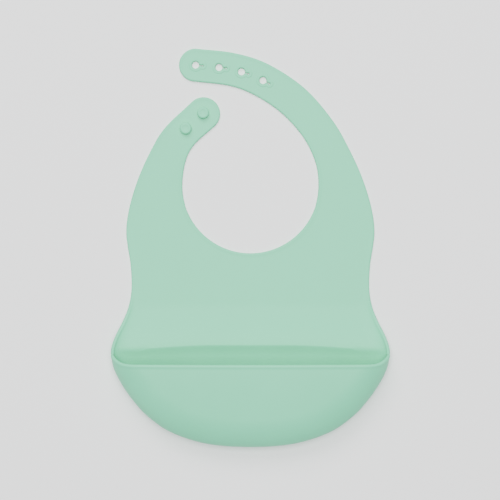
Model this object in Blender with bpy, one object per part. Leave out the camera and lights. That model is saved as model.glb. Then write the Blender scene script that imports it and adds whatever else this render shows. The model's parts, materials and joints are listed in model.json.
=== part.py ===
"""A silicone bib lying on its back: chest sheet, catch pocket, and two neck straps that fasten.

Lengths are in millimetres until they reach a mesh, which holds metres. +X is to the right of someone
looking down on the bib, +Y runs from the pocket to the neck and +Z stands up from the table. The
origin is on the table, under the middle of the bib's box. The bib is one moulding of rubber, divided
here at the lines where it bends, and each moving length has its origin on its own bending line.
"""

import math

import bmesh
import bpy
from mathutils import Vector

MM = 0.001

# Driving dimensions
SHEET = 2.0
MIDDLE = SHEET / 2
GAP = 0.3
NECK_RADIUS = 53.8
NECK_Y = 48.5
FOLD_Y = -45.0
FOLD_GAP = 2.6
STRAP_GAP = 0.8

# Pocket, as heights of the middle of the wall above the table
CREASE_Y = -76.4
CREASE_DROP = 3.5
CREASE_DROP_FROM = 50.0
CREASE_DROP_LENGTH = 50.0
SPLIT_DROP_FROM = 60.0
SPLIT_DROP_LENGTH = 32.0
CREASE_HEIGHT = 8.0
CREASE_GAP = 0.9
DIVE_LENGTH = 20.0
DIVE_POWER = 1.6
CORNER_Y = -83.0
CORNER_SHARE = 0.52
LIP_Y = -90.5
LIP_END_POWER = 4
SIDE_HEIGHT = 14.0
LIP_HEIGHT = 34.0
FRONT_FALL = 7.0
FRONT_FALL_LENGTH = 50.0
FRONT_FALL_POWER = 1.3
FRONT_CROWN = 3.0
BACK_ROLL = 15.0
FRONT_ROLL = 22.0
FRONT_SPLIT = math.radians(42)
FRONT_SPLIT_GAP = math.radians(2.2)
LEVEL_LENGTH = 40.0
LIP_RADIUS = 1.5
LIP_START = math.radians(48)
POCKET_HINGE = (0.0, -146.0, 14.0)

# Half of the outline, as it would be drawn with a flexible curve: side edge, then round the pocket
SIDE_EDGE = [(107.4, -77), (104.6, -69), (99.2, -58), (95.0, -46), (93.1, -31), (93.9, -14),
             (96.0, -1), (97.3, 11), (96.2, 23.6)]
POCKET_EDGE = [(108, -83), (105.6, -94.5), (99.3, -107), (90.7, -119.3), (79, -131.8),
               (60.5, -144.2), (33, -152.8), (0, -155.2)]

# Straps: the two ends of each line across the strap, inner edge and outer edge
LONG_STRAP = [((51.3, 33.0), (95.6, 27.0)), ((53.4, 48.8), (88.2, 52.5)), ((50.9, 66.5), (77.4, 76.5)),
              ((41.0, 86.5), (64.4, 99.0)), ((23.7, 105.3), (42.4, 124.2)), ((3.4, 118.7), (14.0, 143.0)),
              ((-16.0, 126.0), (-12.6, 151.7)), ((-43.0, 129.4), (-43.0, 155.2))]
LONG_CUTS = [0, 1.75, 3.27, 4.55, 6.0]
SHORT_STRAP = [((51.3, 33.0), (95.6, 27.0)), ((53.4, 48.8), (88.2, 52.5)), ((50.6, 67.6), (77.6, 76.0)),
               ((43.7, 80.2), (66.6, 93.5)), ((28.6, 93.9), (45.0, 114.2))]
SHORT_CUTS = [0, 1.34, 2.8]
KEYHOLES = [(-42.8, 142.4), (-24.8, 141.4), (-7.1, 137.2), (10.0, 130.7)]
KEYHOLE_RADIUS = 2.75
SLIT_LENGTH = 4.2
SLIT_WIDTH = 1.2
STUDS = [(-37.0, 104.6), (-50.6, 92.4)]
STUD_STEM = 2.3
STUD_HEAD = 4.5
STUD_PROFILE = [(0, 0.3), (STUD_STEM, 0.3), (STUD_STEM, 3.5), (3.3, 3.7), (STUD_HEAD, 4.2),
                (4.6, 4.8), (4.2, 5.6), (3.3, 6.0), (2.4, 5.9), (0, 5.5)]

# Mesh fineness
BOTTOM_COLUMNS = 14
SIDE_COLUMNS = 5
BACK_STEPS = 4
FRONT_STEPS = 6
CURVE_STEPS = 6
OUTLINE_STEPS = 12
CHEST_STEPS = 5
LIP_STEPS = 3
TIP_STEPS = 12
HOLE_STEPS = 20
NECK_STEPS = 32

SILICONE = (0.42, 0.64, 0.52, 1.0)


def smooth_step(value):
    value = min(max(value, 0.0), 1.0)
    return value * value * (3 - 2 * value)


def smooth_point(points, where):
    """A point on the smooth curve through some points; where counts the points along it."""
    last = len(points) - 1
    first = min(int(where), last - 1)
    part = where - first
    a, b, c, d = (Vector(points[min(max(first + k, 0), last)]) for k in (-1, 0, 1, 2))
    if first == 0:
        a = 2 * b - c
    if first == last - 1:
        d = 2 * c - b
    return (b * 2 + (c - a) * part + (a * 2 - b * 5 + c * 4 - d) * part**2
            + (b * 3 - a - c * 3 + d) * part**3) / 2


def smooth_line(points, steps=CURVE_STEPS):
    count = (len(points) - 1) * steps
    return [smooth_point(points, k / steps) for k in range(count + 1)]


class Edge:
    """The pocket's outline at the middle of its wall, measured by length from its lowest point."""

    def __init__(self):
        half = smooth_line(POCKET_EDGE, OUTLINE_STEPS)[::-1]
        self.points = [Vector((-p.x, p.y)) for p in half[:0:-1]] + half
        self.at = [0.0]
        for a, b in zip(self.points, self.points[1:]):
            self.at.append(self.at[-1] + (b - a).length)
        self.half = self.at[-1] / 2

    def point(self, length):
        """The outline's point at a length either side of the bottom, and the inward normal there."""
        target = min(max(length + self.half, 0), self.at[-1])
        k = max(i for i, value in enumerate(self.at[:-1]) if value <= target)
        part = (target - self.at[k]) / (self.at[k + 1] - self.at[k])
        inward = self.normal(k) * (1 - part) + self.normal(k + 1) * part
        level = Vector((math.copysign(1, -length), 0))
        inward = inward.lerp(level, smooth_step((abs(length) - self.half) / LEVEL_LENGTH + 1)).normalized()
        return self.points[k].lerp(self.points[k + 1], part) + inward * MIDDLE, inward

    def normal(self, k):
        a = self.points[max(k - 1, 0)]
        b = self.points[min(k + 1, len(self.points) - 1)]
        along = b - a
        return Vector((-along.y, along.x)).normalized()


EDGE = Edge()


def side_width(y):
    """Half the sheet's width at a height y beside the chest, found on the smooth side edge."""
    line = smooth_line([POCKET_EDGE[0], *SIDE_EDGE], OUTLINE_STEPS)
    for a, b in zip(line, line[1:]):
        if a.y <= y <= b.y:
            return a.x + (b.x - a.x) * (y - a.y) / (b.y - a.y) - MIDDLE
    return line[0].x - MIDDLE


def crease_y(x):
    return CREASE_Y - CREASE_DROP * smooth_step((abs(x) - CREASE_DROP_FROM) / CREASE_DROP_LENGTH)


def split_y(x):
    """Where the sheet under the chest is divided from the pocket: along the crease, then to each corner."""
    part = smooth_step((abs(x) - SPLIT_DROP_FROM) / SPLIT_DROP_LENGTH)
    return crease_y(x) + (CORNER_Y - crease_y(x)) * part


def back_height(x, y):
    """The sheet under the chest rises to the crease, then dives into the pocket and lies flat."""
    crease = crease_y(x)
    if y >= crease:
        return MIDDLE + (CREASE_HEIGHT - MIDDLE) * smooth_step((FOLD_Y - y) / (FOLD_Y - crease))
    left = max(1 - (crease - y) / DIVE_LENGTH, 0)
    return MIDDLE + (CREASE_HEIGHT - MIDDLE) * left**DIVE_POWER


def rim_height(y):
    return MIDDLE + (SIDE_HEIGHT - MIDDLE) * smooth_step((FOLD_Y - 1 - y) / (FOLD_Y - 1 - CORNER_Y))


def front_height(x, y):
    fall = max((LIP_Y - y) / FRONT_FALL_LENGTH, 0)
    half_width = POCKET_EDGE[0][0] - FRONT_ROLL
    return LIP_HEIGHT - FRONT_FALL * fall**FRONT_FALL_POWER - FRONT_CROWN * (x / half_width)**2


def roll_angles(start, end, steps):
    return [start + (end - start) * k / steps for k in range(steps + 1)]


def edge_lengths(reach):
    """Stations along the pocket's outline: sides finely spaced, then the bottom."""
    corner = EDGE.half * CORNER_SHARE
    side = [corner + (reach - corner) * k / SIDE_COLUMNS for k in range(1, SIDE_COLUMNS + 1)]
    bottom = [corner * (2 * k / BOTTOM_COLUMNS - 1) for k in range(BOTTOM_COLUMNS + 1)]
    return [-value for value in side[::-1]] + bottom + side


def back_ring(angle):
    """One line round the rolled back of the pocket, at an angle from its outermost line."""
    inset = BACK_ROLL * (1 - math.cos(angle))
    line = []
    for length in edge_lengths(EDGE.half):
        point, inward = EDGE.point(length)
        plan = point + inward * inset
        low = back_height(plan.x, plan.y)
        line.append(Vector((plan.x, plan.y, low + (SIDE_HEIGHT - low) * (1 - math.sin(angle)))))
    return line


def front_ring(angle):
    """One line round the rolled front of the pocket; its ends drop quickly to the lip."""
    inset = FRONT_ROLL * (1 - math.cos(angle))
    drop = (CORNER_Y - LIP_Y) * (1 - (1 - inset / FRONT_ROLL)**LIP_END_POWER)
    line = []
    for length in edge_lengths(EDGE.half - drop):
        point, inward = EDGE.point(length)
        plan = point + inward * inset
        high = front_height(plan.x, plan.y)
        line.append(Vector((plan.x, plan.y, SIDE_HEIGHT + (high - SIDE_HEIGHT) * math.sin(angle))))
    return line


def filled(top, ring, height):
    """Rows of a patch bounded by a top line and by the ring that hangs from its two ends."""
    left = ring[: SIDE_COLUMNS + 1]
    bottom = ring[SIDE_COLUMNS : SIDE_COLUMNS + BOTTOM_COLUMNS + 1]
    right = ring[SIDE_COLUMNS + BOTTOM_COLUMNS :][::-1]
    rows = []
    for j in range(SIDE_COLUMNS + 1):
        v = j / SIDE_COLUMNS
        row = []
        for i in range(BOTTOM_COLUMNS + 1):
            u = i / BOTTOM_COLUMNS
            point = top[i] * (1 - v) + bottom[i] * v + left[j] * (1 - u) + right[j] * u
            point = point - (top[0] * (1 - u) + top[-1] * u) * (1 - v)
            point = point - (bottom[0] * (1 - u) + bottom[-1] * u) * v
            if 0 < i < BOTTOM_COLUMNS and 0 < j < SIDE_COLUMNS:
                point.z = height(point.x, point.y)
            row.append(point)
        rows.append(row)
    return rows


def across(start, end, height):
    """A line between two points in BOTTOM_COLUMNS steps, at the surface's own height."""
    line = []
    for k in range(BOTTOM_COLUMNS + 1):
        point = start.lerp(end, k / BOTTOM_COLUMNS)
        line.append(Vector((point.x, point.y, height(point.x, point.y))))
    return line


def clear_scene():
    for item in list(bpy.data.objects):
        bpy.data.objects.remove(item, do_unlink=True)


def make_material(name, colour, roughness):
    material = bpy.data.materials.new(name)
    material.use_nodes = True
    shader = material.node_tree.nodes["Principled BSDF"]
    shader.inputs["Base Color"].default_value = colour
    shader.inputs["Roughness"].default_value = roughness
    shader.inputs["Metallic"].default_value = 0.0
    return material


def add_object(name, mesh, origin=(0, 0, 0), parent=None, lightness=1.0):
    """An object whose mesh, made in millimetres from the bib's origin, turns about its own origin."""
    centre = Vector(origin) * MM
    for vertex in mesh.vertices:
        vertex.co = vertex.co * MM - centre
    item = bpy.data.objects.new(name, mesh)
    bpy.context.scene.collection.objects.link(item)
    item.location = centre
    if parent:
        item.parent = parent
        item.location = centre - world_place(parent)
    colour = tuple(value * lightness for value in SILICONE[:3]) + (1.0,)
    mesh.materials.append(make_material(name, colour, 0.55))
    mesh.shade_smooth()
    mesh.set_sharp_from_angle(angle=math.radians(40))
    return item


def world_place(item):
    place = Vector(item.location)
    while item.parent:
        item = item.parent
        place += item.location
    return place


def patch_mesh(name, patches):
    """One mesh from several patches, each a list of rows of points, joined where they meet."""
    build = bmesh.new()
    for rows in patches:
        grid = [[build.verts.new(point) for point in row] for row in rows]
        for upper, lower in zip(grid, grid[1:]):
            for k in range(len(upper) - 1):
                build.faces.new((upper[k], lower[k], lower[k + 1], upper[k + 1]))
    bmesh.ops.remove_doubles(build, verts=build.verts, dist=0.001)
    bmesh.ops.recalc_face_normals(build, faces=build.faces)
    mesh = bpy.data.meshes.new(name)
    build.to_mesh(mesh)
    build.free()
    return mesh


def add_sheet(name, patches, **where):
    """A wall of the sheet's thickness about the middle surface that the patches give."""
    item = add_object(name, patch_mesh(name, patches), **where)
    wall = item.modifiers.new("wall", "SOLIDIFY")
    wall.thickness = SHEET * MM
    wall.offset = 0.0
    wall.use_even_offset = True
    return item


def plate_mesh(name, outline, low=0.0, high=SHEET):
    """A flat plate from its outline."""
    build = bmesh.new()
    bottom = [build.verts.new((p[0], p[1], low)) for p in outline]
    face = build.faces.new(bottom)
    top = bmesh.ops.extrude_face_region(build, geom=[face])["geom"]
    for item in top:
        if isinstance(item, bmesh.types.BMVert):
            item.co.z = high
    bmesh.ops.recalc_face_normals(build, faces=build.faces)
    mesh = bpy.data.meshes.new(name)
    build.to_mesh(mesh)
    build.free()
    return mesh


def turned_mesh(name, profile, centre, steps=20):
    """A solid of revolution about an upright line, from (radius, height) points."""
    build = bmesh.new()
    rings = []
    for radius, height in profile:
        if radius == 0:
            rings.append([build.verts.new((centre[0], centre[1], height))])
            continue
        ring = []
        for k in range(steps):
            angle = 2 * math.pi * k / steps
            x = centre[0] + radius * math.cos(angle)
            y = centre[1] + radius * math.sin(angle)
            ring.append(build.verts.new((x, y, height)))
        rings.append(ring)
    for lower, upper in zip(rings, rings[1:]):
        for k in range(steps):
            corners = [lower[k % len(lower)], lower[(k + 1) % len(lower)],
                       upper[(k + 1) % len(upper)], upper[k % len(upper)]]
            build.faces.new(list(dict.fromkeys(corners)))
    bmesh.ops.recalc_face_normals(build, faces=build.faces)
    mesh = bpy.data.meshes.new(name)
    build.to_mesh(mesh)
    build.free()
    return mesh


def cut(item, cutter):
    cutter.hide_render = True
    cutter.display_type = "WIRE"
    hole = item.modifiers.new(cutter.name, "BOOLEAN")
    hole.operation = "DIFFERENCE"
    hole.solver = "EXACT"
    hole.object = cutter


def mirrored(points, sign):
    return [Vector((p[0] * sign, p[1])) for p in points]


def strap_line(strap, where, sign):
    """The inner and outer ends of the line across a strap."""
    inner = smooth_point([pair[0] for pair in strap], where)
    outer = smooth_point([pair[1] for pair in strap], where)
    return mirrored([inner, outer], sign)


def strap_hinge(strap, where, sign):
    """The middle of the line across a strap, and its direction from the inner edge to the outer."""
    inner, outer = strap_line(strap, where, sign)
    return (inner + outer) / 2, (outer - inner).normalized()


def strap_outline(strap, start, end, sign, tip=False):
    """Outline of one length of strap, set back from the bending line at each end."""
    steps = max(int(round((end - start) * CURVE_STEPS)), 3)
    pairs = [strap_line(strap, start + (end - start) * k / steps, sign) for k in range(steps + 1)]
    inner = [pair[0] for pair in pairs]
    outer = [pair[1] for pair in pairs]
    trimmed = ((0, 1),) if tip else ((0, 1), (-1, -1))
    for end_index, way in trimmed:
        line = (outer[end_index] - inner[end_index]).normalized()
        ahead = Vector((-line.y, line.x)) * sign * way * STRAP_GAP / 2
        inner[end_index] = inner[end_index] + ahead
        outer[end_index] = outer[end_index] + ahead
    round_end = []
    if tip:
        middle = (inner[-1] + outer[-1]) / 2
        spoke = outer[-1] - middle
        for k in range(1, TIP_STEPS):
            angle = sign * math.pi * k / TIP_STEPS
            turned = Vector((spoke.x * math.cos(angle) - spoke.y * math.sin(angle),
                             spoke.x * math.sin(angle) + spoke.y * math.cos(angle)))
            round_end.append(middle + turned)
    return outer + round_end + inner[::-1]


def keyhole_outline(centre, away):
    """A round hole with a narrow slit that runs from it, ending in a small round."""
    side = Vector((-away.y, away.x))
    half = SLIT_WIDTH / 2
    opening = math.asin(half / KEYHOLE_RADIUS)
    outline = []
    for k in range(HOLE_STEPS + 1):
        angle = opening + (2 * math.pi - 2 * opening) * k / HOLE_STEPS
        outline.append(centre + (away * math.cos(angle) + side * math.sin(angle)) * KEYHOLE_RADIUS)
    far = centre + away * (KEYHOLE_RADIUS + SLIT_LENGTH)
    outline.append(far - side * half)
    outline.append(far + away * half)
    outline.append(far + side * half)
    return outline


def add_keyhole(item, number, centre, strap):
    """The slit of each keyhole points along the strap, away from its tip."""
    spots = [strap_hinge(strap, k / 10, 1)[0] for k in range(10 * (len(strap) - 1) + 1)]
    nearest = min(range(1, len(spots)), key=lambda k: (spots[k] - centre).length)
    away = (spots[nearest - 1] - spots[nearest]).normalized()
    outline = keyhole_outline(centre, away)
    mesh = plate_mesh(f"keyhole_cutter_{number}", outline, -1.0, SHEET + 1.0)
    cut(item, add_object(f"keyhole_cutter_{number}", mesh))


def neck_line(right, left):
    """The neck opening's lower arc, from the right strap's inner edge round to the left strap's."""
    centre = Vector((0, NECK_Y))
    start = math.atan2(right.y - centre.y, right.x)
    end = math.atan2(left.y - centre.y, left.x)
    if end > 0:
        end -= 2 * math.pi
    line = []
    for k in range(NECK_STEPS + 1):
        angle = start + (end - start) * k / NECK_STEPS
        line.append(centre + Vector((math.cos(angle), math.sin(angle))) * NECK_RADIUS)
    return line


def chest_outline():
    """The flat sheet from the fold line up to both straps, round the neck opening."""
    side = [Vector(p) for p in smooth_line(SIDE_EDGE, 4) if p.y > FOLD_Y + FOLD_GAP / 2 + 1]
    foot = Vector((side_width(FOLD_Y) + MIDDLE, FOLD_Y + FOLD_GAP / 2))
    ends = []
    for sign in (1, -1):
        inner, outer = strap_line(LONG_STRAP, 0, sign)
        line = (outer - inner).normalized()
        back = Vector((line.y, -line.x)) * sign * STRAP_GAP / 2
        ends.append((inner + back, outer + back))
    right = [foot, *side, ends[0][1]]
    left = [Vector((-p.x, p.y)) for p in [foot, *side]][::-1]
    neck = neck_line(ends[0][0], ends[1][0])
    return [*right, *neck, ends[1][1], *left]


def add_chest(parent):
    hinge = (0, FOLD_Y, MIDDLE)
    return add_object("chest_panel", plate_mesh("chest_panel", chest_outline()), hinge, parent)


def add_straps(chest):
    """Both straps as chains of short lengths, each turning on the one before it."""
    made = {}
    plan = (("long_strap", LONG_STRAP, LONG_CUTS, 1), ("short_strap", SHORT_STRAP, SHORT_CUTS, -1))
    for name, strap, cuts, sign in plan:
        parent = chest
        stations = [*cuts, len(strap) - 1]
        for k, (start, end) in enumerate(zip(stations, stations[1:]), 1):
            tip = k == len(cuts)
            outline = strap_outline(strap, start, end, sign, tip)
            middle, _ = strap_hinge(strap, start, sign)
            origin = (middle.x, middle.y, MIDDLE)
            mesh = plate_mesh(f"{name}_{k}", outline)
            parent = add_object(f"{name}_{k}", mesh, origin, parent, 1 - 0.05 * (k % 2))
            made[f"{name}_{k}"] = parent
    return made


def add_keyholes(straps):
    for number, spot in enumerate(KEYHOLES, 1):
        owner = "long_strap_5" if number <= 2 else "long_strap_4"
        add_keyhole(straps[owner], number, Vector(spot), LONG_STRAP)


def add_studs(strap):
    """Two mushroom studs, each with its stem through the strap."""
    for number, centre in enumerate(STUDS, 1):
        profile = [(0, -1.0), (STUD_STEM + GAP, -1.0), (STUD_STEM + GAP, SHEET + 1), (0, SHEET + 1)]
        mesh = turned_mesh(f"stud_cutter_{number}", profile, centre)
        cut(strap, add_object(f"stud_cutter_{number}", mesh))
        stud = turned_mesh(f"stud_{number}", STUD_PROFILE, centre)
        add_object(f"stud_{number}", stud, (centre[0], centre[1], 0), strap, 0.9)


def add_lower_chest():
    """From the fold line down to the crease, with both side edges curling up."""
    angles = roll_angles(0, math.pi / 2, BACK_STEPS)
    rows = []
    for k in range(CHEST_STEPS + 1):
        part = k / CHEST_STEPS

        def y_at(x):
            top = FOLD_Y - FOLD_GAP / 2
            return top + (split_y(x) + CREASE_GAP / 2 - top) * part

        right = []
        for angle in angles:
            inset = BACK_ROLL * (1 - math.cos(angle))
            y = y_at(side_width(y_at(POCKET_EDGE[0][0])) - inset)
            x = side_width(y) - inset
            low = back_height(x, y)
            height = low + (max(rim_height(y), low) - low) * (1 - math.sin(angle))
            right.append(Vector((x, y, height)))
        left = [Vector((-p.x, p.y, p.z)) for p in right]
        inner = right[-1].x
        middle = []
        for i in range(1, BOTTOM_COLUMNS):
            x = inner * (2 * i / BOTTOM_COLUMNS - 1)
            middle.append(Vector((x, y_at(x), back_height(x, y_at(x)))))
        rows.append([*left, *middle, *right[::-1]])
    return add_sheet("lower_chest", [rows])


def add_pocket_back():
    """From the crease down to the table and along it."""
    inner = []
    for point, length in zip(back_ring(math.pi / 2), edge_lengths(EDGE.half)):
        moved = point + EDGE.point(length)[1].to_3d() * GAP
        inner.append(Vector((moved.x, moved.y, back_height(moved.x, moved.y))))
    top = []
    for k in range(BOTTOM_COLUMNS + 1):
        x = inner[0].x + (inner[-1].x - inner[0].x) * k / BOTTOM_COLUMNS
        y = split_y(x) - CREASE_GAP / 2
        top.append(Vector((x, y, back_height(x, y))))
    inner[0], inner[-1] = top[0], top[-1]
    return add_sheet("pocket_back", [filled(top, inner, back_height)])


def add_gusset():
    """The rolled wall round the sides and bottom, from the back wall to the front wall."""
    back = [back_ring(angle) for angle in roll_angles(math.pi / 2, 0, BACK_STEPS)]
    front = [front_ring(angle) for angle in roll_angles(0, FRONT_SPLIT, FRONT_STEPS // 2)]
    return add_sheet("pocket_gusset", [back + front[1:]])


def add_front(parent):
    """The front wall, which bends out from the bottom of the pocket."""
    start = FRONT_SPLIT + FRONT_SPLIT_GAP
    rings = [front_ring(angle) for angle in roll_angles(start, math.pi / 2, FRONT_STEPS // 2)]
    ends = rings[-1][0], rings[-1][-1]
    top = across(ends[0], ends[1], front_height)
    body = filled(top, rings[-1], front_height)
    for row in rings:
        for k in (0, -1):
            row[k] = row[k] + Vector((0, -(LIP_RADIUS + GAP), 0))
    for k in range(BOTTOM_COLUMNS + 1):
        body[0][k] = body[0][k] + Vector((0, -(LIP_RADIUS + GAP), 0))
    return add_sheet("pocket_front", [rings, body], origin=POCKET_HINGE, parent=parent, lightness=1.05)


def add_lip(front):
    """The round bead along the front wall's free edge."""
    rings = [front_ring(angle) for angle in roll_angles(LIP_START, math.pi / 2, LIP_STEPS)]
    left = [ring[0] for ring in rings]
    right = [ring[-1] for ring in rings][::-1]
    path = [*left, *across(left[-1], right[0], front_height)[1:-1], *right]
    curve = bpy.data.curves.new("pocket_lip", "CURVE")
    curve.dimensions = "3D"
    curve.bevel_depth = LIP_RADIUS * MM
    curve.bevel_resolution = 2
    curve.use_fill_caps = True
    line = curve.splines.new("POLY")
    line.points.add(len(path) - 1)
    centre = Vector(POCKET_HINGE)
    for spot, point in zip(line.points, path):
        spot.co = (*((point - centre) * MM), 1.0)
    lip = bpy.data.objects.new("pocket_lip", curve)
    bpy.context.scene.collection.objects.link(lip)
    lip.parent = front
    colour = tuple(value * 1.1 for value in SILICONE[:3]) + (1.0,)
    curve.materials.append(make_material("pocket_lip", colour, 0.5))
    return lip


def build_bib():
    clear_scene()
    apron = add_lower_chest()
    add_pocket_back()
    add_gusset()
    front = add_front(apron)
    add_lip(front)
    chest = add_chest(apron)
    straps = add_straps(chest)
    add_keyholes(straps)
    add_studs(straps["short_strap_3"])


build_bib()
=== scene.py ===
"""Looks of the silicone bib: one continuous skin of rubber, divided where its bodies bend, and its studs.

Lengths are in millimetres until they reach a mesh, and places are in the frame's axes: +Y runs from
the pocket to the neck straps and the table is at height 0. The outline and the straps repeat the CAD
part's curves, with a softer crease and narrower slits in the keyholes.
"""

import json
import math

import bmesh
import bpy
import numpy as np
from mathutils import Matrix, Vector, kdtree


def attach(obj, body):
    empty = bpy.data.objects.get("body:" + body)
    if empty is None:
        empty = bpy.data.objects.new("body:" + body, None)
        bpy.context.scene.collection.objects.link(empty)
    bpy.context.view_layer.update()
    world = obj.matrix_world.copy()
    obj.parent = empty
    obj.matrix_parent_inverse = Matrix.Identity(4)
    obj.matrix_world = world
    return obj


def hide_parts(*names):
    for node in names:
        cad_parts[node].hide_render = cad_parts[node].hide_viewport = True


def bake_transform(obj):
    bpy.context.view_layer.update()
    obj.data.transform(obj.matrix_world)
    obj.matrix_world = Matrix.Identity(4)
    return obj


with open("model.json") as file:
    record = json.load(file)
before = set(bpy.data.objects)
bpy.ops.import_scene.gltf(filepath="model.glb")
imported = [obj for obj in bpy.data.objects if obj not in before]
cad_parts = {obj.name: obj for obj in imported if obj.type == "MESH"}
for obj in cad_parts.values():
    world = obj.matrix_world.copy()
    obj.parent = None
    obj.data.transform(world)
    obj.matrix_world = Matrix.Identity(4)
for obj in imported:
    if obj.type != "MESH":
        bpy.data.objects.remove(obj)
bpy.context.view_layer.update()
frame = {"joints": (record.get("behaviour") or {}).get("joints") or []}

MM = 0.001

# The sheet, the neck and the pocket, as in the CAD part
SHEET = 2.0
MIDDLE = SHEET / 2
NECK_RADIUS = 53.8
NECK_Y = 48.5
FOLD_Y = -45.0
CREASE_Y = -76.4
CREASE_DROP = 3.5
CREASE_HEIGHT = 8.0
DIVE_LENGTH = 20.0
CORNER_Y = -83.0
CORNER_SHARE = 0.52
LIP_Y = -90.5
LIP_END_POWER = 4
SIDE_HEIGHT = 14.0
LIP_HEIGHT = 34.0
FRONT_FALL = 7.0
FRONT_FALL_LENGTH = 50.0
FRONT_FALL_POWER = 1.3
FRONT_CROWN = 3.0
BACK_ROLL = 15.0
FRONT_ROLL = 22.0
LEVEL_LENGTH = 40.0

# The crease's own values: it drops to the corners more gradually than the CAD's and dives more steeply
CREASE_DROP_FROM = 30.0
CREASE_DROP_LENGTH = 78.0
SPLIT_DROP_FROM = 78.0
SPLIT_DROP_LENGTH = 14.0
DIVE_POWER = 1.9
CREASE_SOFTNESS = 0.035

# Half of the outline, from the bottom of the pocket up the side edge to the shoulder
OUTLINE = [(0, -155.2), (33, -152.8), (60.5, -144.2), (79, -131.8), (90.7, -119.3), (99.3, -107),
           (105.6, -94.5), (108, -83), (107.4, -77), (104.6, -69), (99.2, -58), (95.0, -46),
           (93.1, -31), (93.9, -14), (96.0, -1), (97.3, 11), (96.2, 23.6), (93.2, 37)]
CORNER_INDEX = 7
HALF_WIDTH = OUTLINE[CORNER_INDEX][0]

# Straps: the two ends of each line across a strap, inner edge and outer edge. A strap begins at its
# second line, its root, and the first line only gives its edges their direction there.
SHOULDER = [((44.6, 18.5), (97.0, 6.0)), ((51.3, 33.0), (95.6, 27.0)), ((53.4, 48.8), (88.2, 52.5))]
LONG_STRAP = [*SHOULDER, ((50.9, 66.5), (77.4, 76.5)), ((41.0, 86.5), (64.4, 99.0)),
              ((23.7, 105.3), (42.4, 124.2)), ((3.4, 118.7), (14.0, 143.0)), ((-16.0, 126.0), (-12.6, 151.7)),
              ((-43.0, 129.4), (-43.0, 155.2))]
SHORT_STRAP = [*SHOULDER, ((50.6, 67.6), (77.6, 76.0)), ((43.7, 80.2), (66.6, 93.5)),
               ((28.6, 93.9), (45.0, 114.2))]
KEYHOLES = [(-42.8, 142.4), (-24.8, 141.4), (-7.1, 137.2), (10.0, 130.7)]
KEYHOLE_RADIUS = 2.75
SLIT_FAR = 5.7
SLIT_WIDTH = 0.5
DOT_RADIUS = 0.6
STUDS = [(-37.0, 104.6), (-50.6, 92.4)]

# A stud's section, as radius and height: its foot, its neck, and its head with a shallow dish
STUD_PROFILE = [(0, 1.2), (3.4, 1.4), (3.2, 2.2), (2.6, 2.6), (2.35, 3.0), (2.35, 3.5), (2.6, 3.75),
                (3.4, 3.85), (4.0, 4.0), (4.35, 4.25), (4.5, 4.6), (4.52, 4.95), (4.4, 5.3), (4.15, 5.62),
                (3.8, 5.85), (3.4, 5.97), (3.0, 5.98), (2.6, 5.9), (2.0, 5.72), (1.2, 5.58), (0, 5.54)]

# Where the skin is divided
CHEST_SEAM_Y = -22.0
FOLD_SEAM_Y = -60.0
STRAP_SEAM_DROP = 14.0

# The sides curl up from here down to the pocket's corners
RIM_START_Y = -28.0
RIM_POWER = 1.5

# Edge beads, as half the rubber's thickness, and the raised collars round the keyholes. The lip's bead
# is full-grown a little above the middle of the pocket's height, and the underside has none on the table.
BEAD = 1.25
BEAD_REACH = 3.2
LIP_BEAD = 1.5
LIP_BEAD_FROM = 16.0
LIP_BEAD_RISE = 6.0
UNDERSIDE_FROM = 3.0
UNDERSIDE_RISE = 5.0
HOLE_MARGIN = 0.5
COLLAR_RAMP = 0.5
COLLAR_RISE = 0.3
COLLAR_REACH = 2.6
COLLAR_SOFTNESS = 0.6
NOSE_FLAT = 0.12

# Mesh fineness
LINE_STEPS = 24
STRAP_STEPS = 40
ROW_SPACING = 1.7
END_STEPS = 20
SLIT_TIP_STEPS = 4
SLIT_STEPS = 5
SHOULDER_ROWS = 28
FOLD_ROWS = 24
MOUTH_ROWS = 14
STUD_STEPS = 56
BOTTOM_COLUMNS = 72
BACK_STEPS = 16
FRONT_STEPS = 22
EDGE_STEPS = [0, 0.12, 0.4, 0.85, 1.4, 2.1, 3.0, 4.2, 6.0]
SIDE_COLUMNS = 34
ACROSS = [0, 0.1, 0.3, 0.6, 1.0, 1.5, 2.1, 3.0, 4.2, 6.0]
BLOCK_HALF = 7.0
BLOCK_ACROSS = 12
BLOCK_ALONG = 16
BLOCK_BACK = 5.8
BLOCK_AHEAD = 10.6
RING_PARTS = [0, 0.02, 0.06, 0.12, 0.2, *(0.27 + 0.035 * k for k in range(12)), 0.74, 0.86, 1]
STRAP_WIDTH = 25.8

# Lengths under which two points are one, and the spacing of the points that stand for an edge
MERGE = 0.004
NEAR = 0.01
SPOT_SPACING = 0.3

# A slit points along the middle line of the strap, taken over this length
SLIT_AIM = 4.0

# Where the lines from the edge of the neck turn from the chest seam to the sides
NECK_CORNER = math.radians(-38)

# The rubber's faintly cloudy tint
TINT_LOW = (0.121, 0.665, 0.375, 1)
TINT_HIGH = (0.131, 0.69, 0.395, 1)


def smooth_step(value):
    """Rises smoothly from 0 to 1 while a value, or each of an array, goes from 0 to 1."""
    value = np.clip(value, 0.0, 1.0)
    return value * value * (3 - 2 * value)


def smooth_point(points, where):
    """A point on the smooth curve through some points; where counts the points along it."""
    last = len(points) - 1
    first = min(int(where), last - 1)
    part = where - first
    a, b, c, d = (Vector(points[min(max(first + k, 0), last)]) for k in (-1, 0, 1, 2))
    if first == 0:
        a = 2 * b - c
    if first == last - 1:
        d = 2 * c - b
    return (b * 2 + (c - a) * part + (a * 2 - b * 5 + c * 4 - d) * part**2
            + (b * 3 - a - c * 3 + d) * part**3) / 2


def outline_points():
    """The right half of the outline, finely, level at the bottom."""
    points = [(-OUTLINE[1][0], OUTLINE[1][1]), *OUTLINE]
    return [smooth_point(points, 1 + k / LINE_STEPS) for k in range((len(points) - 2) * LINE_STEPS + 1)]


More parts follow.
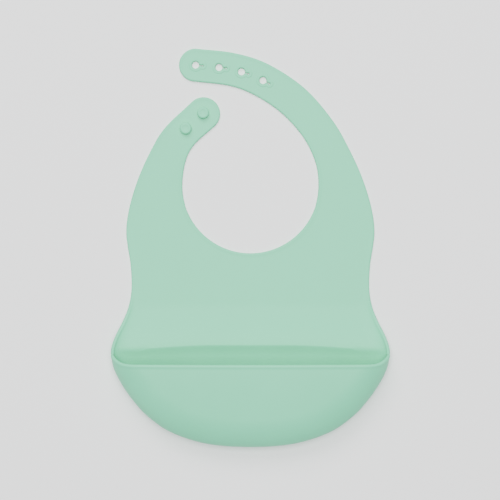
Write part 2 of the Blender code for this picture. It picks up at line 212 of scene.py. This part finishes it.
HALF_LINE = outline_points()
POCKET_LINE = HALF_LINE[: CORNER_INDEX * LINE_STEPS + 1]
SIDE_LINE = HALF_LINE[CORNER_INDEX * LINE_STEPS :]


class Edge:
    """The pocket's outline at the middle of its wall, measured by length from its lowest point."""

    def __init__(self):
        self.points = [Vector((-p.x, p.y)) for p in POCKET_LINE[:0:-1]] + POCKET_LINE
        self.at = [0.0]
        for a, b in zip(self.points, self.points[1:]):
            self.at.append(self.at[-1] + (b - a).length)
        self.half = self.at[-1] / 2

    def normal(self, k):
        a = self.points[max(k - 1, 0)]
        b = self.points[min(k + 1, len(self.points) - 1)]
        along = b - a
        return Vector((-along.y, along.x)).normalized()

    def point(self, length):
        """The outline's point at a length either side of the bottom, and the inward normal there."""
        target = min(max(length + self.half, 0), self.at[-1])
        k = int(np.searchsorted(self.at, target, side="right")) - 1
        k = min(k, len(self.at) - 2)
        part = (target - self.at[k]) / (self.at[k + 1] - self.at[k])
        inward = (self.normal(k) * (1 - part) + self.normal(k + 1) * part).normalized()
        level = Vector((math.copysign(1, -length), 0))
        inward = inward.lerp(level, smooth_step((abs(length) - self.half) / LEVEL_LENGTH + 1)).normalized()
        return self.points[k].lerp(self.points[k + 1], part) + inward * MIDDLE, inward


EDGE = Edge()


def side_width(y):
    """Half the width of the middle surface beside the chest."""
    k = min(max(int(np.searchsorted([p.y for p in SIDE_LINE], y)), 1), len(SIDE_LINE) - 1)
    a, b = SIDE_LINE[k - 1], SIDE_LINE[k]
    part = (y - a.y) / (b.y - a.y)
    return a.x + (b.x - a.x) * part - MIDDLE * smooth_step((RIM_START_Y - y) / (RIM_START_Y - CORNER_Y))


def crease_y(x):
    return CREASE_Y - CREASE_DROP * smooth_step((abs(x) - CREASE_DROP_FROM) / CREASE_DROP_LENGTH)


def split_y(x):
    """Where the rows of the sheet meet those of the pocket: along the crease, then to each corner."""
    part = smooth_step((abs(x) - SPLIT_DROP_FROM) / SPLIT_DROP_LENGTH)
    return crease_y(x) + (CORNER_Y - crease_y(x)) * part


def back_height(x, y):
    """The sheet under the chest rises to the crease, then dives into the pocket and lies flat."""
    crease = crease_y(x)
    if y >= crease:
        return MIDDLE + (CREASE_HEIGHT - MIDDLE) * smooth_step((FOLD_Y - y) / (FOLD_Y - crease))
    part = min((crease - y) / DIVE_LENGTH, 1)
    left = 1 - part * part * (1 + CREASE_SOFTNESS) / (part + CREASE_SOFTNESS)
    return MIDDLE + (CREASE_HEIGHT - MIDDLE) * left**DIVE_POWER


def rim_height(y):
    part = smooth_step((RIM_START_Y - y) / (RIM_START_Y - CORNER_Y))
    return MIDDLE + (SIDE_HEIGHT - MIDDLE) * part**RIM_POWER


def front_height(x, y):
    fall = max((LIP_Y - y) / FRONT_FALL_LENGTH, 0)
    return LIP_HEIGHT - FRONT_FALL * fall**FRONT_FALL_POWER - FRONT_CROWN * (x / (HALF_WIDTH - FRONT_ROLL))**2


def side_steps(reach, corner):
    """Distances back from the end of the pocket's outline to where its bottom begins."""
    whole = reach - corner
    even = SIDE_COLUMNS - len(EDGE_STEPS) + 1
    start = EDGE_STEPS[-1]
    return [*EDGE_STEPS, *(start + (whole - start) * k / even for k in range(1, even + 1))]


def edge_lengths(reach):
    corner = EDGE.half * CORNER_SHARE
    side = [reach - step for step in side_steps(reach, corner)]
    bottom = [corner * (2 * k / BOTTOM_COLUMNS - 1) for k in range(1, BOTTOM_COLUMNS)]
    return [-value for value in side] + bottom + side[::-1]


def back_ring(angle):
    """One line round the rolled back of the pocket, at an angle from its outermost line."""
    inset = BACK_ROLL * (1 - math.cos(angle))
    line = []
    for length in edge_lengths(EDGE.half):
        point, inward = EDGE.point(length)
        plan = point + inward * inset
        low = back_height(plan.x, plan.y)
        line.append(Vector((plan.x, plan.y, low + (SIDE_HEIGHT - low) * (1 - math.sin(angle)))))
    return line


def front_ring(angle):
    """One line round the rolled front of the pocket; its ends drop quickly to the lip."""
    inset = FRONT_ROLL * (1 - math.cos(angle))
    drop = (CORNER_Y - LIP_Y) * (1 - (1 - inset / FRONT_ROLL)**LIP_END_POWER)
    line = []
    for length in edge_lengths(EDGE.half - drop):
        point, inward = EDGE.point(length)
        plan = point + inward * inset
        high = front_height(plan.x, plan.y)
        line.append(Vector((plan.x, plan.y, SIDE_HEIGHT + (high - SIDE_HEIGHT) * math.sin(angle))))
    return line


def filled(top, ring, height):
    """Rows of a patch bounded by a top line and by the ring that hangs from its two ends."""
    left = ring[: SIDE_COLUMNS + 1]
    bottom = ring[SIDE_COLUMNS : SIDE_COLUMNS + BOTTOM_COLUMNS + 1]
    right = ring[SIDE_COLUMNS + BOTTOM_COLUMNS :][::-1]
    steps = side_steps(EDGE.half, EDGE.half * CORNER_SHARE)
    rows = []
    for j in range(SIDE_COLUMNS + 1):
        v = steps[j] / steps[-1]
        row = []
        for i in range(BOTTOM_COLUMNS + 1):
            u = i / BOTTOM_COLUMNS
            point = top[i] * (1 - v) + bottom[i] * v + left[j] * (1 - u) + right[j] * u
            point = point - (top[0] * (1 - u) + top[-1] * u) * (1 - v)
            point = point - (bottom[0] * (1 - u) + bottom[-1] * u) * v
            if 0 < i < BOTTOM_COLUMNS and 0 < j < SIDE_COLUMNS:
                point.z = height(point.x, point.y)
            row.append(point)
        rows.append(row)
    return rows


def apron_row(part, top_y, foot):
    """A line across the sheet under the chest, a part of the way from top_y to its foot line."""
    def y_at(x):
        return top_y + (foot(x) - top_y) * part

    right = []
    for k in range(BACK_STEPS + 1):
        angle = math.pi / 2 * k / BACK_STEPS
        inset = BACK_ROLL * (1 - math.cos(angle))
        y = y_at(HALF_WIDTH)
        x = side_width(y) - inset
        low = back_height(x, y)
        right.append(Vector((x, y, low + (max(rim_height(y), low) - low) * (1 - math.sin(angle)))))
    inner = right[-1].x
    middle = []
    for i in range(1, BOTTOM_COLUMNS):
        x = inner * (2 * i / BOTTOM_COLUMNS - 1)
        middle.append(Vector((x, y_at(x), back_height(x, y_at(x)))))
    return [*(Vector((-p.x, p.y, p.z)) for p in right), *middle, *right[::-1]]


def apron_rows(top_y, foot, steps):
    return [apron_row(k / steps, top_y, foot) for k in range(steps + 1)]


class Skin:
    """The middle surface of the whole bib, as faces that each belong to one piece."""

    def __init__(self):
        self.build = bmesh.new()
        self.piece = self.build.faces.layers.int.new("piece")
        self.names = []
        self.holes = []

    def grid(self, rows, name, skip=()):
        """Faces between rows of points; skip holds the (row, column) cells to leave open."""
        if name not in self.names:
            self.names.append(name)
        number = self.names.index(name)
        made = [[self.build.verts.new(point) for point in row] for row in rows]
        for j, (upper, lower) in enumerate(zip(made, made[1:])):
            for k in range(len(upper) - 1):
                if (j, k) not in skip:
                    face = self.build.faces.new((upper[k], lower[k], lower[k + 1], upper[k + 1]))
                    face[self.piece] = number

    def close(self):
        """Joins the patches, then measures every point's distance from the free edges."""
        loose = [v for v in self.build.verts if not v.link_faces]
        bmesh.ops.delete(self.build, geom=loose, context="VERTS")
        bmesh.ops.remove_doubles(self.build, verts=self.build.verts, dist=MERGE)
        bmesh.ops.recalc_face_normals(self.build, faces=self.build.faces)
        top = max(self.build.faces, key=lambda f: f.calc_center_median().y)
        if top.normal.z < 0:
            bmesh.ops.reverse_faces(self.build, faces=self.build.faces)
        self.build.normal_update()
        self.build.verts.index_update()
        self.points = np.array([v.co for v in self.build.verts])
        self.normals = np.array([v.normal for v in self.build.verts])
        self.faces = [[v.index for v in f.verts] for f in self.build.faces]
        self.owners = [f[self.piece] for f in self.build.faces]
        free = [e for e in self.build.edges if e.is_boundary]
        self.free = {frozenset(v.index for v in e.verts) for e in free}
        self.distance = self.nearest([[v.co for v in e.verts] for e in free])
        self.hole_distance = self.nearest(self.holes)
        self.build.free()

    def nearest(self, pairs):
        """Every point's distance from the nearest of some short lines."""
        spots = []
        for a, b in pairs:
            count = max(int((b - a).length / SPOT_SPACING), 1)
            spots += [a.lerp(b, k / count) for k in range(count + 1)]
        tree = kdtree.KDTree(len(spots))
        for k, spot in enumerate(spots):
            tree.insert(spot, k)
        tree.balance()
        return np.array([tree.find(v.co)[2] for v in self.build.verts])


def bead_height(distance, bulge):
    """Half the rubber's thickness at a distance from its free edge: a round nose, then a low bead."""
    near = np.clip(distance / bulge, 0, 1)
    nose = bulge * np.sqrt(1 - (1 - near) ** 2)
    fall = bulge + (MIDDLE - bulge) * smooth_step((distance - bulge) / (BEAD_REACH - bulge))
    return np.maximum(np.where(distance < bulge, nose, fall), NOSE_FLAT)


def half_thickness(skin):
    """The rubber's thickness above the middle surface, with the collars, and below it."""
    height = skin.points[:, 2]
    bead = BEAD + (LIP_BEAD - BEAD) * np.clip((height - LIP_BEAD_FROM) / LIP_BEAD_RISE, 0, 1)
    near_hole = skin.hole_distance < skin.distance + HOLE_MARGIN
    above = bead_height(skin.distance, np.where(near_hole, MIDDLE, bead))
    collar = smooth_step((COLLAR_REACH - skin.hole_distance) / COLLAR_SOFTNESS)
    above = above + COLLAR_RISE * collar * np.clip(skin.hole_distance / COLLAR_RAMP, 0, 1)
    lifted = np.clip((height - UNDERSIDE_FROM) / UNDERSIDE_RISE, 0, 1)
    return above, bead_height(skin.distance, MIDDLE + (bead - MIDDLE) * lifted)


def around(loop):
    """Each point of a closed loop with the next one."""
    return zip(loop, loop[1:] + loop[:1])


def face_normal(points, corners):
    """A face's normal, as long as its area asks; a quad's comes from its diagonals."""
    a, b, c, *rest = (points[corner] for corner in corners)
    return np.cross(c - a, rest[0] - b) if rest else np.cross(b - a, c - a)


class Shell:
    """The skin with its thickness: upper and lower faces, and walls that close its free edges."""

    def __init__(self, skin):
        above, below = half_thickness(skin)
        upper = skin.points + skin.normals * above[:, None]
        lower = skin.points - skin.normals * below[:, None]
        self.points = np.vstack([upper, lower])
        self.count = len(upper)
        self.free = skin.free
        self.faces = [self.thick_face(corners) for corners in skin.faces]
        self.shading = self.whole_normals()

    def wall(self, a, b):
        """The face between an upper edge and the lower edge under it."""
        return [b, a, a + self.count, b + self.count]

    def thick_face(self, corners):
        lower = [corner + self.count for corner in corners[::-1]]
        walls = [self.wall(a, b) for a, b in around(corners) if frozenset((a, b)) in self.free]
        return [corners, lower, *walls]

    def whole_normals(self):
        """Every point's normal on the whole skin, so that the pieces' seams don't show."""
        sums = np.zeros_like(self.points)
        for faces in self.faces:
            for corners in faces:
                sums[corners] += face_normal(self.points, corners)
        return sums / np.maximum(np.linalg.norm(sums, axis=1, keepdims=True), 1e-12)

    def caps(self, chosen):
        """Flat faces that close a piece where it meets its neighbours."""
        walls = {}
        for face in chosen:
            for a, b in around(self.faces[face][0]):
                walls.setdefault(frozenset((a, b)), []).append(self.wall(a, b))
        return [found[0] for edge, found in walls.items() if len(found) == 1 and edge not in self.free]

    def piece_mesh(self, name, chosen):
        smooth = [corners for face in chosen for corners in self.faces[face]]
        caps = self.caps(chosen)
        used = sorted({corner for corners in smooth + caps for corner in corners})
        local = {corner: k for k, corner in enumerate(used)}
        faces = [[local[corner] for corner in corners] for corners in smooth + caps]
        mesh = bpy.data.meshes.new(name)
        mesh.from_pydata([Vector(self.points[corner]) * MM for corner in used], [], faces)
        mesh.shade_smooth()
        normals = [tuple(self.shading[corner]) for corners in smooth for corner in corners]
        for cap in caps:
            flat = Vector(face_normal(self.points, cap[:3])).normalized()
            normals += [tuple(flat)] * len(cap)
        mesh.normals_split_custom_set(normals)
        return mesh


def piece_meshes(skin):
    """One closed mesh for each piece, shaded as a part of the whole skin."""
    shell = Shell(skin)
    meshes = {}
    for number, name in enumerate(skin.names):
        chosen = [face for face, owner in enumerate(skin.owners) if owner == number]
        meshes[name] = shell.piece_mesh(name, chosen)
    return meshes


# The straps


class Strap:
    """A strap as lines across it, measured by length along its middle from its root line."""

    def __init__(self, name, lines, sign, keyholes=()):
        self.name = name
        self.lines = lines
        self.sign = sign
        self.whole = len(lines) - 1
        self.wheres = [1 + k / STRAP_STEPS for k in range((self.whole - 1) * STRAP_STEPS + 1)]
        middles = [self.middle(w) for w in self.wheres]
        self.at = [0.0]
        for a, b in zip(middles, middles[1:]):
            self.at.append(self.at[-1] + (b - a).length)
        self.length = self.at[-1]
        inner, outer = self.ends(self.whole)
        self.radius = (outer - inner).length / 2
        self.keyholes = sorted(self.nearest(Vector(spot)) for spot in keyholes)

    def ends(self, where):
        inner = smooth_point([pair[0] for pair in self.lines], where)
        outer = smooth_point([pair[1] for pair in self.lines], where)
        return Vector((inner.x * self.sign, inner.y)), Vector((outer.x * self.sign, outer.y))

    def middle(self, where):
        inner, outer = self.ends(where)
        return (inner + outer) / 2

    def nearest(self, spot):
        best = min(range(len(self.wheres)), key=lambda k: (self.middle(self.wheres[k]) - spot).length)
        return self.at[best]

    def row(self, along, parts):
        """Points across the strap; past its last line the strap ends in a half circle."""
        if along <= self.length:
            inner, outer = self.ends(float(np.interp(along, self.at, self.wheres)))
            return [Vector((*inner.lerp(outer, part), MIDDLE)) for part in parts]
        inner, outer = self.ends(self.whole)
        side = (outer - inner) / 2
        ahead = Vector((-side.y, side.x)) * self.sign
        sine = min((along - self.length) / self.radius, 1)
        cosine = math.sqrt(max(1 - sine * sine, 0))
        middle = (inner + outer) / 2 + ahead * sine
        return [Vector((*(middle + side * cosine * (2 * part - 1)), MIDDLE)) for part in parts]


def across_parts():
    """Shares across a strap: fine at both edges, even in the middle."""
    edge = [step / STRAP_WIDTH for step in ACROSS if step < STRAP_WIDTH / 2 - BLOCK_HALF]
    low = 0.5 - BLOCK_HALF / STRAP_WIDTH
    block = [low + (1 - 2 * low) * k / BLOCK_ACROSS for k in range(BLOCK_ACROSS + 1)]
    return edge + block + [1 - value for value in edge[::-1]]


PARTS = across_parts()
EDGE_COLUMNS = (len(PARTS) - 1 - BLOCK_ACROSS) // 2


def keyhole_half():
    """Half of a keyhole's edge, from the far end of its slit round to the back of its hole."""
    half = SLIT_WIDTH / 2
    meet = math.pi - math.asin(half / DOT_RADIUS)
    line = []
    for k in range(SLIT_TIP_STEPS + 1):
        angle = meet * k / SLIT_TIP_STEPS
        line.append((SLIT_FAR + DOT_RADIUS * math.cos(angle), DOT_RADIUS * math.sin(angle)))
    opening = math.asin(half / KEYHOLE_RADIUS)
    start = line[-1][0]
    mouth = KEYHOLE_RADIUS * math.cos(opening)
    line += [(start + (mouth - start) * k / SLIT_STEPS, half) for k in range(1, SLIT_STEPS)]
    rest = BLOCK_ACROSS + BLOCK_ALONG - len(line)
    for k in range(rest + 1):
        angle = opening + (math.pi - opening) * k / rest
        line.append((KEYHOLE_RADIUS * math.cos(angle), KEYHOLE_RADIUS * math.sin(angle)))
    return line


def keyhole_loop(centre, away, side):
    half = keyhole_half()
    whole = half + [(a, -b) for a, b in half[-2:0:-1]]
    return [centre + away * a + side * b for a, b in whole]


def block_loop(rows, first, last):
    """The block's outer points in order, from the middle of the side that the slit points to."""
    low = EDGE_COLUMNS
    high = EDGE_COLUMNS + BLOCK_ACROSS
    middle = EDGE_COLUMNS + BLOCK_ACROSS // 2
    loop = [rows[first][c] for c in range(middle, high)]
    loop += [rows[r][high] for r in range(first, last)]
    loop += [rows[last][c] for c in range(high, low, -1)]
    loop += [rows[r][low] for r in range(last, first, -1)]
    loop += [rows[first][c] for c in range(low, middle)]
    return loop


def strap_stations(strap, cuts):
    """Row positions: even steps between cuts, the rows of each keyhole's block, and the round end."""
    blocks = [(at - BLOCK_AHEAD, at + BLOCK_BACK) for at in strap.keyholes]
    marks = {0.0, strap.length, *cuts, *(end for ends in blocks for end in ends)}
    marks = sorted(m for m in marks if not any(low + NEAR < m < high - NEAR for low, high in blocks))
    stations = []
    for a, b in zip(marks, marks[1:]):
        in_block = any(abs(a - low) < NEAR for low, _ in blocks)
        steps = BLOCK_ALONG if in_block else max(int((b - a) / ROW_SPACING), 1)
        stations += [a + (b - a) * k / steps for k in range(steps)]
    stations.append(marks[-1])
    first = math.asin(max((marks[-1] - strap.length) / strap.radius, 0))
    for k in range(1, END_STEPS + 1):
        angle = first + (math.pi / 2 - first) * k / END_STEPS
        stations.append(strap.length + strap.radius * math.sin(angle))
    return stations, blocks


def add_keyhole(skin, strap, name, at, edge):
    """A keyhole's ring of faces, from its own edge out to the edge of its block."""
    middle = strap.row(at, [0.5])[0]
    away = (strap.row(at - SLIT_AIM, [0.5])[0] - middle).normalized()
    side = Vector((-away.y, away.x, 0)) * strap.sign
    hole = keyhole_loop(middle, away, side)
    skin.holes += around(hole)
    rings = [[h.lerp(e, part) for h, e in zip(hole, edge)] for part in RING_PARTS]
    skin.grid([ring + ring[:1] for ring in rings], name)


def add_strap(skin, strap, cuts):
    """The strap's middle surface, one piece between each pair of cuts, with its keyholes."""
    stations, blocks = strap_stations(strap, cuts)
    rows = [strap.row(station, PARTS) for station in stations]
    skip = set()
    for at, (low, high) in zip(strap.keyholes, blocks):
        first = nearest_index(stations, low)
        last = nearest_index(stations, high)
        columns = range(EDGE_COLUMNS, EDGE_COLUMNS + BLOCK_ACROSS)
        skip |= {(row, column) for row in range(first, last) for column in columns}
        add_keyhole(skin, strap, piece_at(strap, at, cuts), at, block_loop(rows, first, last))
    bounds = [0.0, *cuts, stations[-1]]
    for number, (a, b) in enumerate(zip(bounds, bounds[1:]), 1):
        first = nearest_index(stations, a)
        last = nearest_index(stations, b)
        part_skip = {(row - first, column) for row, column in skip}
        skin.grid(rows[first : last + 1], f"{strap.name}_skin_{number}", part_skip)


def nearest_index(values, wanted):
    return min(range(len(values)), key=lambda k: abs(values[k] - wanted))


def piece_at(strap, along, cuts):
    number = 1 + sum(along > cut for cut in cuts)
    return f"{strap.name}_skin_{number}"


def collar_row(angle, sign, end, height=MIDDLE):
    """A line over the sheet from the neck's edge, at an angle on one side, out to an end point."""
    neck = Vector((math.cos(angle) * sign * NECK_RADIUS, NECK_Y + math.sin(angle) * NECK_RADIUS))
    row = [Vector((*neck.lerp(Vector(end), part), MIDDLE)) for part in PARTS]
    row[-1].z = height
    return row


def seam_rows(seam):
    """Lines from the bottom of the neck's edge out to the seam across the chest."""
    bottom = -math.pi / 2
    rows = []
    for point in seam:
        share = point.x / seam[-1].x
        angle = bottom + (NECK_CORNER - bottom) * abs(share)
        rows.append(collar_row(angle, math.copysign(1, share), (point.x, point.y), point.z))
    return rows


def shoulder_rows(sign, low_y):
    """Lines from the neck's edge out to one side, up to the strap's root."""
    inner, outer = (Vector(end) for end in SHOULDER[1])
    top_angle = math.atan2(inner.y - NECK_Y, inner.x)
    rows = []
    for k in range(1, SHOULDER_ROWS):
        y = low_y + (outer.y - low_y) * k / SHOULDER_ROWS
        angle = NECK_CORNER + (top_angle - NECK_CORNER) * k / SHOULDER_ROWS
        rows.append(collar_row(angle, sign, (side_width(y) * sign, y)))
    root = [inner.lerp(outer, part) for part in PARTS]
    rows.append([Vector((point.x * sign, point.y, MIDDLE)) for point in root])
    return rows


def add_collar(skin):
    """The sheet round the neck, as lines from the neck's edge out to the sides and the chest seam."""
    seam = apron_row(0, CHEST_SEAM_Y, split_y)
    low_y = seam[-1].y
    rows = shoulder_rows(-1, low_y)[::-1] + seam_rows(seam) + shoulder_rows(1, low_y)
    root_y = SHOULDER[1][1][1]
    cut = int(SHOULDER_ROWS * STRAP_SEAM_DROP / (root_y - low_y)) + 1
    skin.grid(rows[: cut + 1], "short_strap_skin_1")
    skin.grid(rows[cut : len(rows) - cut], "chest_skin")
    skin.grid(rows[len(rows) - cut - 1 :], "long_strap_skin_1")


def add_pocket(skin):
    """The sheet below the fold's seam, the pocket's back, its rolled edge, and its front."""
    skin.grid(apron_rows(FOLD_SEAM_Y, split_y, MOUTH_ROWS), "pocket_skin")
    backs = [back_ring(math.pi / 2 * (1 - k / BACK_STEPS)) for k in range(BACK_STEPS + 1)]
    fronts = [front_ring(math.pi / 2 * k / FRONT_STEPS) for k in range(FRONT_STEPS + 1)]
    skin.grid(backs + fronts[1:], "pocket_skin")
    foot = apron_row(1, FOLD_SEAM_Y, split_y)[BACK_STEPS : BACK_STEPS + BOTTOM_COLUMNS + 1]
    skin.grid(filled(foot, backs[0], back_height), "pocket_skin")
    ring = fronts[-1]
    top = []
    for k in range(BOTTOM_COLUMNS + 1):
        point = ring[0].lerp(ring[-1], k / BOTTOM_COLUMNS)
        top.append(Vector((point.x, point.y, front_height(point.x, point.y))))
    skin.grid(filled(top, ring, front_height), "pocket_skin")


def add_fold(skin):
    skin.grid(apron_rows(CHEST_SEAM_Y, lambda x: FOLD_SEAM_Y, FOLD_ROWS), "chest_fold_skin")


# Materials


def add_object(name, data):
    item = bpy.data.objects.new(name, data)
    bpy.context.scene.collection.objects.link(item)
    return item


def new_material(name):
    """A new material, with its node tree and its shader."""
    material = bpy.data.materials.new(name)
    material.use_nodes = True
    return material, material.node_tree, material.node_tree.nodes["Principled BSDF"]


def add_noise(tree, scale, detail):
    noise = tree.nodes.new("ShaderNodeTexNoise")
    noise.inputs["Scale"].default_value = scale
    noise.inputs["Detail"].default_value = detail
    return noise


def silicone(name):
    """Matt silicone: an even tint with faint cloudiness, a fine tooth, and a soft sheen."""
    material, tree, shader = new_material(name)
    place = tree.nodes.new("ShaderNodeTexCoord")
    cloud = add_noise(tree, 26.0, 3.0)
    tint = tree.nodes.new("ShaderNodeValToRGB")
    low, high = tint.color_ramp.elements
    low.position = 0.25
    low.color = TINT_LOW
    high.position = 0.75
    high.color = TINT_HIGH
    tooth = add_noise(tree, 1500.0, 2.0)
    bump = tree.nodes.new("ShaderNodeBump")
    bump.inputs["Strength"].default_value = 0.08
    bump.inputs["Distance"].default_value = 0.0002
    rough = tree.nodes.new("ShaderNodeMapRange")
    rough.inputs["To Min"].default_value = 0.5
    rough.inputs["To Max"].default_value = 0.6
    links = tree.links
    links.new(place.outputs["Object"], cloud.inputs["Vector"])
    links.new(place.outputs["Object"], tooth.inputs["Vector"])
    links.new(cloud.outputs["Fac"], tint.inputs["Fac"])
    links.new(tint.outputs["Color"], shader.inputs["Base Color"])
    links.new(tooth.outputs["Fac"], bump.inputs["Height"])
    links.new(bump.outputs["Normal"], shader.inputs["Normal"])
    links.new(cloud.outputs["Fac"], rough.inputs["Value"])
    links.new(rough.outputs["Result"], shader.inputs["Roughness"])
    shader.inputs["Specular IOR Level"].default_value = 0.35
    shader.inputs["Sheen Weight"].default_value = 0.08
    shader.inputs["Sheen Roughness"].default_value = 0.5
    return material


def add_piece(name, mesh, material):
    item = add_object(name, mesh)
    mesh.materials.append(material)
    return item


def stud_mesh(name, centre):
    """A mushroom stud: a round foot, a neck, and a rounded head with a shallow dish."""
    build = bmesh.new()
    rings = []
    for radius, height in STUD_PROFILE:
        spots = STUD_STEPS if radius else 1
        ring = []
        for k in range(spots):
            angle = 2 * math.pi * k / STUD_STEPS
            x = centre[0] + radius * math.cos(angle)
            y = centre[1] + radius * math.sin(angle)
            ring.append(build.verts.new(Vector((x, y, height)) * MM))
        rings.append(ring)
    for lower, upper in zip(rings, rings[1:]):
        for k in range(STUD_STEPS):
            corners = [lower[k % len(lower)], lower[(k + 1) % len(lower)],
                       upper[(k + 1) % len(upper)], upper[k % len(upper)]]
            build.faces.new(list(dict.fromkeys(corners)))
    bmesh.ops.recalc_face_normals(build, faces=build.faces)
    mesh = bpy.data.meshes.new(name)
    build.to_mesh(mesh)
    build.free()
    mesh.shade_smooth()
    return mesh


def joints_named(start):
    return [joint for joint in frame["joints"] if joint["name"].startswith(start)]


def strap_cuts(strap):
    """Seams half-way between a strap's neighbouring bending lines."""
    ats = [strap.nearest(Vector(joint["pos_m"][:2]) / MM) for joint in joints_named(strap.name)]
    return [(a + b) / 2 for a, b in zip(ats, ats[1:])]


def add_straps(skin):
    long_strap = Strap("long_strap", LONG_STRAP, 1, KEYHOLES)
    cuts = strap_cuts(long_strap)
    first, second = long_strap.keyholes[:2]
    # The last seam is moved into the gap between the first two keyholes.
    cuts[-1] = (second - BLOCK_AHEAD + first + BLOCK_BACK) / 2
    add_strap(skin, long_strap, cuts)
    short_strap = Strap("short_strap", SHORT_STRAP, -1)
    add_strap(skin, short_strap, strap_cuts(short_strap))


def bend(item):
    """Bakes the piece's place into its mesh, where it then stays."""
    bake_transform(item)


def attach_pieces(items):
    """The chest's piece of skin moves with the chest's body, the others keep their places, and each hides the
    CAD nodes that it replaces.
    """
    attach(items["chest_skin"], "chest")
    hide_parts("chest_panel")
    pocket = items["pocket_skin"]
    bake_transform(pocket)
    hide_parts("lower_chest", "pocket_back", "pocket_gusset", "pocket_front", "pocket_lip")
    bend(items["chest_fold_skin"])
    for name in ("long_strap", "short_strap"):
        for number, joint in enumerate(joints_named(name), 1):
            item = items[f"{name}_skin_{number}"]
            bend(item)
            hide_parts(f"{name}_{number}")


def add_studs(rubber):
    for number, centre in enumerate(STUDS, 1):
        name = f"stud_skin_{number}"
        stud = add_piece(name, stud_mesh(name, centre), rubber)
        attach(stud, "short_strap_3")
        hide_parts(f"stud_{number}")


def build_bib():
    skin = Skin()
    add_pocket(skin)
    add_fold(skin)
    add_collar(skin)
    add_straps(skin)
    skin.close()
    rubber = silicone("silicone")
    items = {name: add_piece(name, mesh, rubber) for name, mesh in piece_meshes(skin).items()}
    attach_pieces(items)
    add_studs(rubber)


# Stage


def add_floor():
    """A wide matt floor, just under the bib so that the two don't touch."""
    size = 3.0
    level = -0.0002
    corners = [(-size, -size), (size, -size), (size, size), (-size, size)]
    mesh = bpy.data.meshes.new("floor")
    mesh.from_pydata([(x, y, level) for x, y in corners], [], [(0, 1, 2, 3)])
    material, _, shader = new_material("floor")
    shader.inputs["Base Color"].default_value = (0.95, 0.95, 0.95, 1)
    shader.inputs["Roughness"].default_value = 0.9
    shader.inputs["Specular IOR Level"].default_value = 0.1
    mesh.materials.append(material)
    floor = add_object("floor", mesh)


def add_light(name, place, size, power):
    """A soft light that points at the middle of the bib."""
    lamp = bpy.data.lights.new(name, "AREA")
    lamp.shape = "RECTANGLE"
    lamp.size, lamp.size_y = size
    lamp.energy = power
    item = add_object(name, lamp)
    item.location = place
    item.rotation_euler = (-Vector(place)).to_track_quat("-Z", "Y").to_euler()


def add_studio():
    add_floor()
    add_light("key", (-0.5, 2.2, 2.4), (2.2, 1.6), 92)
    add_light("overhead", (0.0, 0.3, 3.2), (1.8, 1.8), 158)
    world = bpy.data.worlds.new("studio")
    world.use_nodes = True
    back = world.node_tree.nodes["Background"]
    back.inputs["Color"].default_value = (0.88, 0.96, 1.0, 1)
    back.inputs["Strength"].default_value = 0.22
    bpy.context.scene.world = world


def add_camera():
    """A camera that looks straight down and sees a square field of the table, in metres."""
    distance = 1.0
    field = 0.3925
    lens = bpy.data.cameras.new("camera")
    lens.sensor_width = 36.0
    lens.lens = lens.sensor_width * distance / field
    item = add_object("camera", lens)
    item.location = (-0.0003, -0.0027, distance)
    bpy.context.scene.camera = item


build_bib()
add_studio()
add_camera()
